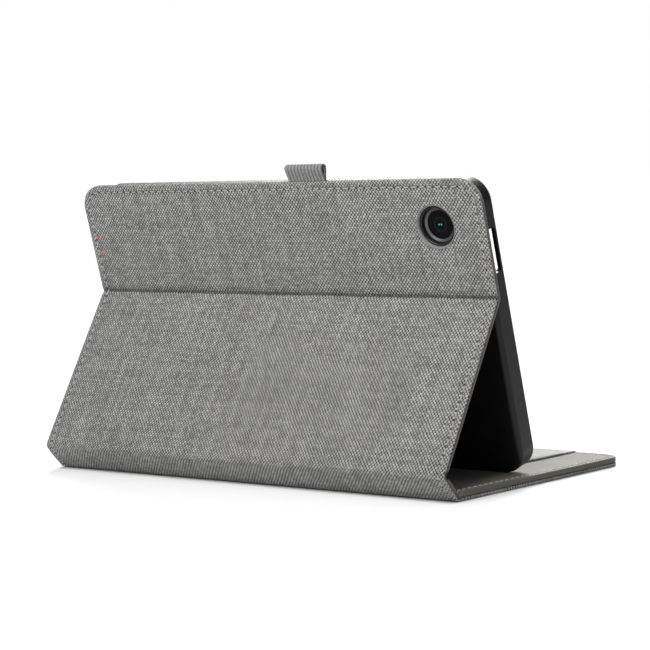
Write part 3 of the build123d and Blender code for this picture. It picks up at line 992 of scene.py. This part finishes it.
def on_cloth(x, u, lift):
    """Depth of a point lifted off the cloth's outer face."""
    return float(cloth_face(np.float64(x), np.float64(u), np.float64(edge_of(x, u)), FAR)) - lift


def on_lining(x, u, lift):
    """Depth of a point lifted off the lining's face."""
    return float(lining_face(np.float64(x), np.float64(u), np.float64(edge_of(x, u)), FAR)) + lift


seams = list(racetrack(SEAM_INSET))
for span in SPANS:
    sewing = Sewing()
    for x, u, way_x, way_u in seams:
        if not span.low <= u < span.high:
            continue
        slant = rng.normal(0, 0.05)
        thread_x, thread_u = way_x - slant * way_u, way_u + slant * way_x
        length = STITCH_LENGTH + rng.normal(0, 0.12)
        sewing.tube(x, u, thread_x, thread_u, length, 0.33, on_cloth, 0.16, 0.34)
        sewing.dimple(x + way_x * NEEDLE_STEP, u + way_u * NEEDLE_STEP, NEEDLE_RADIUS, on_cloth)
        if u < END - CORNER:
            sewing.tube(x, u, thread_x, thread_u, length, 0.34, on_lining, 0.20, 0.34, LINING_THREAD)
    piece = sewing.build(f"stitches_{span.name}", [cloth_thread, hole_painted_shade, stitch_thread])
    blend_over(piece, span)

# ---------------------------------------------------------------- accent tacks
TACK_THREADS = (-0.27, 0.0, 0.27)
tacks = Sewing()
for x in (tacks_low[0] + 0.8, tacks_high[0] - 0.8):
    for u in (CREASE_U + tacks_low[1] + 0.4, CREASE_U + tacks_high[1] - 0.4):
        for step in TACK_THREADS:
            tack_x, slant = x + rng.normal(0, 0.05), rng.normal(0, 0.04)
            tacks.tube(tack_x, u + step, 1.0, slant, 1.75, 0.19, on_cloth, 0.12, 0.2)
piece = tacks.build("tack_threads", [accent])
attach(piece, "back")
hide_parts("accent_tacks")

# ---------------------------------------------------------------- pressed edge of the camera opening
# The edge's section, as (distance from the opening's middle, depth), closed into itself.
RIM_SECTION = (
    (9.62, -0.04),
    (9.45, -0.10),
    (9.28, -0.02),
    (8.98, 0.34),
    (8.76, 0.92),
    (8.74, 1.3),
    (9.1, 1.4),
    (9.5, 0.9),
)
RIM_SIDES = 72
rim_turns = np.linspace(0, 2 * pi, RIM_SIDES + 1)[:-1]
rim_points = [(HOLE[0] + r * cos(t), HOLE[1] + r * sin(t), d) for r, d in RIM_SECTION for t in rim_turns]
rim_coords = np.array(rim_points)
rim_rings = np.arange(len(rim_coords)).reshape(len(RIM_SECTION), RIM_SIDES)
rim_faces = [face for k in range(len(RIM_SECTION)) for face in strip(rim_rings[k - 1], rim_rings[k])]
piece = new_object("opening_edge", bend(*rim_coords.T), rim_faces, rim_coords, [edge_coat])
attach(piece, "back")

# ---------------------------------------------------------------- document pocket
POCKET_RINGS = (0, 0.05, 0.15, 0.3, 0.5, 0.9, 1.3, 1.7, 2.2, 3.0, 4.5, 6.5, CORNER - 2.0)
MOUTH_RINGS = (0, 0.05, 0.15, 0.3, 0.6, 1.0, 2.0, 4.0, 5.6, 6.0, 6.4, 8.0)
POCKET_CORNER = POCKET_RINGS[-1]
POCKET_STEP = 3.0
POCKET_THICK = pocket_high[2] - pocket_low[2]
HEM = (5.6, 6.3)
pocket_x = filled(
    [pocket_low[0] + ring for ring in MOUTH_RINGS] + [pocket_high[0] - ring for ring in POCKET_RINGS],
    POCKET_STEP,
)
pocket_u = filled(
    [pocket_low[1] + ring for ring in POCKET_RINGS] + [pocket_high[1] - ring for ring in POCKET_RINGS],
    POCKET_STEP,
)
x, u = np.meshgrid(pocket_x, pocket_u)
a, b = pocket_high[0] - x, u - pocket_low[1]
edge = np.minimum(np.minimum(a, b), pocket_high[1] - u)
mouth = x - pocket_low[0]
new_a, new_b = into_arc(a, b, POCKET_CORNER)
x, u = pocket_high[0] - new_a, pocket_low[1] + new_b
hem = 0.22 * (1 - smooth(*HEM, mouth))
belly = 0.35 * smooth(0, 18, edge) * (1 - smooth(0, 60, mouth)) + 0.12 * ripple(x, u)
nearest = np.minimum(edge, mouth)
top = COVER_THICK + POCKET_THICK - 0.30 + hem + belly - rounding(0.28, nearest)
top = top - 0.18 * bump_at(edge, 2.0, 0.5)
under = COVER_THICK + 0.02 + 0.75 * belly + rounding(0.15, nearest)
index = np.arange(x.size).reshape(x.shape)
outline = loop_round(index)
faces = grid_faces(index) + grid_faces(index + x.size) + strip(outline, [k + x.size for k in outline])
depth = np.concatenate([top.ravel(), under.ravel()])
coords = np.stack([np.tile(x.ravel(), 2), np.tile(u.ravel(), 2), depth], axis=1)
piece = new_object("pocket_cloth", bend(*coords.T), faces, coords, [pocket_cloth])
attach(piece, "front_cover")
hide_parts("document_pocket")

POCKET_SEAM = 2.0
POCKET_PITCH = 3.4


def pocket_stitch(x, u, way_x, way_u):
    """One short stitch through the pocket's edge."""
    sewing.tube(x, u, way_x, way_u, 2.3, 0.24, on_pocket, 0.06, 0.3)


def on_pocket(x, u, lift):
    """Depth of a point lifted off the pressed edge of the pocket, which is level."""
    return COVER_THICK + POCKET_THICK - 0.35 + lift


sewing = Sewing()
low_u, high_u = pocket_low[1] + POCKET_SEAM, pocket_high[1] - POCKET_SEAM
end_x = pocket_high[0] - POCKET_SEAM
radius = POCKET_CORNER - POCKET_SEAM
for u, stop in ((low_u, end_x - radius), (high_u, end_x)):
    for x in np.arange(pocket_low[0] + 1.8, stop, POCKET_PITCH):
        pocket_stitch(x, u, 1.0, rng.normal(0, 0.04))
for u in np.arange(low_u + radius + 1.0, high_u, POCKET_PITCH):
    pocket_stitch(end_x, u, 0.0, 1.0)
for turn in (0.25, 0.75, 1.25):
    x, u = end_x - radius + radius * sin(turn), low_u + radius - radius * cos(turn)
    pocket_stitch(x, u, cos(turn), sin(turn))
piece = sewing.build("pocket_stitches", [stitch_thread])
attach(piece, "front_cover")

# ---------------------------------------------------------------- pen loop
loop_neck = (loop_low[2] + loop_high[2]) / 2
loop_half = (loop_high[2] - loop_low[2]) / 2
loop_foot = END - TAIL + 0.3
loop_tip = CREASE_U + loop_high[1]
crown = loop_tip - loop_half
TAIL_GAP = 0.03
CROWN_STEPS = 12
COLUMNS_PER_RIB = 6


def loop_line(offset):
    """The band's path (u, d) from one tail round to the other, offset outwards from its inner face."""
    gap = TAIL_GAP + offset
    half = loop_half - WEBBING + offset
    rise = [(u, loop_neck - gap) for u in (loop_foot, END - 2, END - 0.2)]
    for t in (0.15, 0.35, 0.6, 0.85):
        rise.append((END + t * (crown - END), loop_neck - gap - (half - gap) * smooth(0, 1, t)))
    turns = [pi * k / CROWN_STEPS for k in range(CROWN_STEPS + 1)]
    over = [(crown + half * sin(turn), loop_neck - half * cos(turn)) for turn in turns]
    fall = [(u, 2 * loop_neck - d) for u, d in reversed(rise)]
    return rise + over + fall


across_band = np.linspace(-LOOP_HALF, LOOP_HALF, RIBS * COLUMNS_PER_RIB + 1)
web_points, web_grid = [], []
for offset, sign in ((WEBBING, 1), (0.0, -1)):
    grid = []
    for u, d in loop_line(offset):
        spread = 1 + 0.02 * np.clip((u - END) / (loop_tip - END), 0, 1)
        out_u = 0.0 if u < crown else sin(pi / 2 * min(1.0, (u - crown) / loop_half))
        out_d = (1 if d > loop_neck else -1) * (1 - out_u)
        row = []
        for r in across_band:
            side_fall = 0.22 * max(0.0, abs(r) / LOOP_HALF - 0.97) / 0.03
            swell = sign * (0.09 * (cos(2 * pi * r / RIB) - 1) / 2 - side_fall)
            row.append(len(web_points))
            web_points.append((LOOP_MIDDLE + r * spread, u + swell * out_u, d + swell * out_d))
        grid.append(row)
    web_grid.append(np.array(grid))
outer, inner = web_grid
faces = grid_faces(outer) + grid_faces(inner) + strip(loop_round(outer), loop_round(inner))
coords = np.array(web_points)
inner_line = np.array(loop_line(0))
steps = np.hypot(*np.diff(inner_line, axis=0).T)
length_along = np.array([0.0, *np.cumsum(steps)])
web_coords = coords.copy()
web_coords[:, 1] = np.tile(np.repeat(length_along, len(across_band)), 2)
piece = new_object("pen_loop_band", bend(*coords.T), faces, web_coords, [band])
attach(piece, "back")
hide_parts("pen_loop")

# ---------------------------------------------------------------- floor, light, camera
floor_material = Shader("floor", Roughness=0.75)
floor_base = floor_material.place()
floor_tone = floor_material.noise(floor_base, 0.004, 3.0)
floor_material.set("Base Color", floor_material.mix(floor_tone, (0.87, 0.87, 0.87), (0.90, 0.90, 0.90)))
floor_mesh = bpy.data.meshes.new("floor")
work = bmesh.new()
bmesh.ops.create_grid(work, x_segments=8, y_segments=8, size=6.0)
work.to_mesh(floor_mesh)
work.free()
floor_mesh.materials.append(floor_material.material)
floor = bpy.data.objects.new("floor", floor_mesh)
floor.location = (0, 0, -0.0002)
bpy.context.scene.collection.objects.link(floor)


def add_light(name, kind, place, target, strength):
    """A light at a place, aimed at a target. Gives its data, for what only its kind has."""
    data = bpy.data.lights.new(name, kind)
    data.energy = strength
    light = bpy.data.objects.new(name, data)
    light.location = Vector(place)
    light.rotation_mode = "QUATERNION"
    light.rotation_quaternion = (Vector(target) - Vector(place)).to_track_quat("-Z", "Y")
    bpy.context.scene.collection.objects.link(light)
    return data


for name, place, spread, strength in (
    ("overhead_light", (0.25, -0.55, 0.95), 75, 0.75),
    ("edge_light", (0.36, -0.66, 0.50), 32, 2.6),
    ("rear_light", (0.05, 0.71, 0.70), 60, 0.95),
):
    add_light(name, "SUN", place, (0, 0, 0), strength).angle = radians(spread)
add_light("near_light", "AREA", (-0.13, 0.38, 0.50), (-0.05, 0.03, 0.08), 2.9).size = 0.3

# The backdrop is pure white, and lights the object less than it shows.
world = bpy.data.worlds.new("studio")
world.use_nodes = True
world_nodes = world.node_tree.nodes
shown_sky = world_nodes["Background"]
shown_sky.inputs["Color"].default_value = (1, 1, 1, 1)
shown_sky.inputs["Strength"].default_value = 1.0
lit_sky = world_nodes.new("ShaderNodeBackground")
lit_sky.inputs["Color"].default_value = (1, 1, 1, 1)
lit_sky.inputs["Strength"].default_value = 0.18
rays = world_nodes.new("ShaderNodeLightPath")
either = world_nodes.new("ShaderNodeMixShader")
world.node_tree.links.new(rays.outputs["Is Camera Ray"], either.inputs[0])
world.node_tree.links.new(lit_sky.outputs[0], either.inputs[1])
world.node_tree.links.new(shown_sky.outputs[0], either.inputs[2])
world.node_tree.links.new(either.outputs[0], world_nodes["World Output"].inputs["Surface"])
bpy.context.scene.world = world
bpy.context.scene.view_settings.view_transform = "Standard"
bpy.context.scene.view_settings.look = "None"

AZIMUTH, ELEVATION, ROLL = radians(218.18), radians(3.85), radians(-1.24)
DISTANCE = 0.9062
TARGET = Vector((-0.04602, 0.06170, 0.06962))
back = Vector((sin(AZIMUTH) * cos(ELEVATION), -cos(AZIMUTH) * cos(ELEVATION), sin(ELEVATION)))
right = Vector((0, 0, 1)).cross(back).normalized()
up = back.cross(right)
turned_right = right * cos(ROLL) + up * sin(ROLL)
turned_up = up * cos(ROLL) - right * sin(ROLL)
camera_data = bpy.data.cameras.new("camera")
camera_data.lens = 120.32
camera_data.sensor_width = 36
camera_data.clip_start, camera_data.clip_end = 0.05, 20
camera = bpy.data.objects.new("camera", camera_data)
camera.location = TARGET + back * DISTANCE
camera.rotation_mode = "QUATERNION"
camera.rotation_quaternion = Matrix((turned_right, turned_up, back)).transposed().to_quaternion()
bpy.context.scene.collection.objects.link(camera)
bpy.context.scene.camera = camera
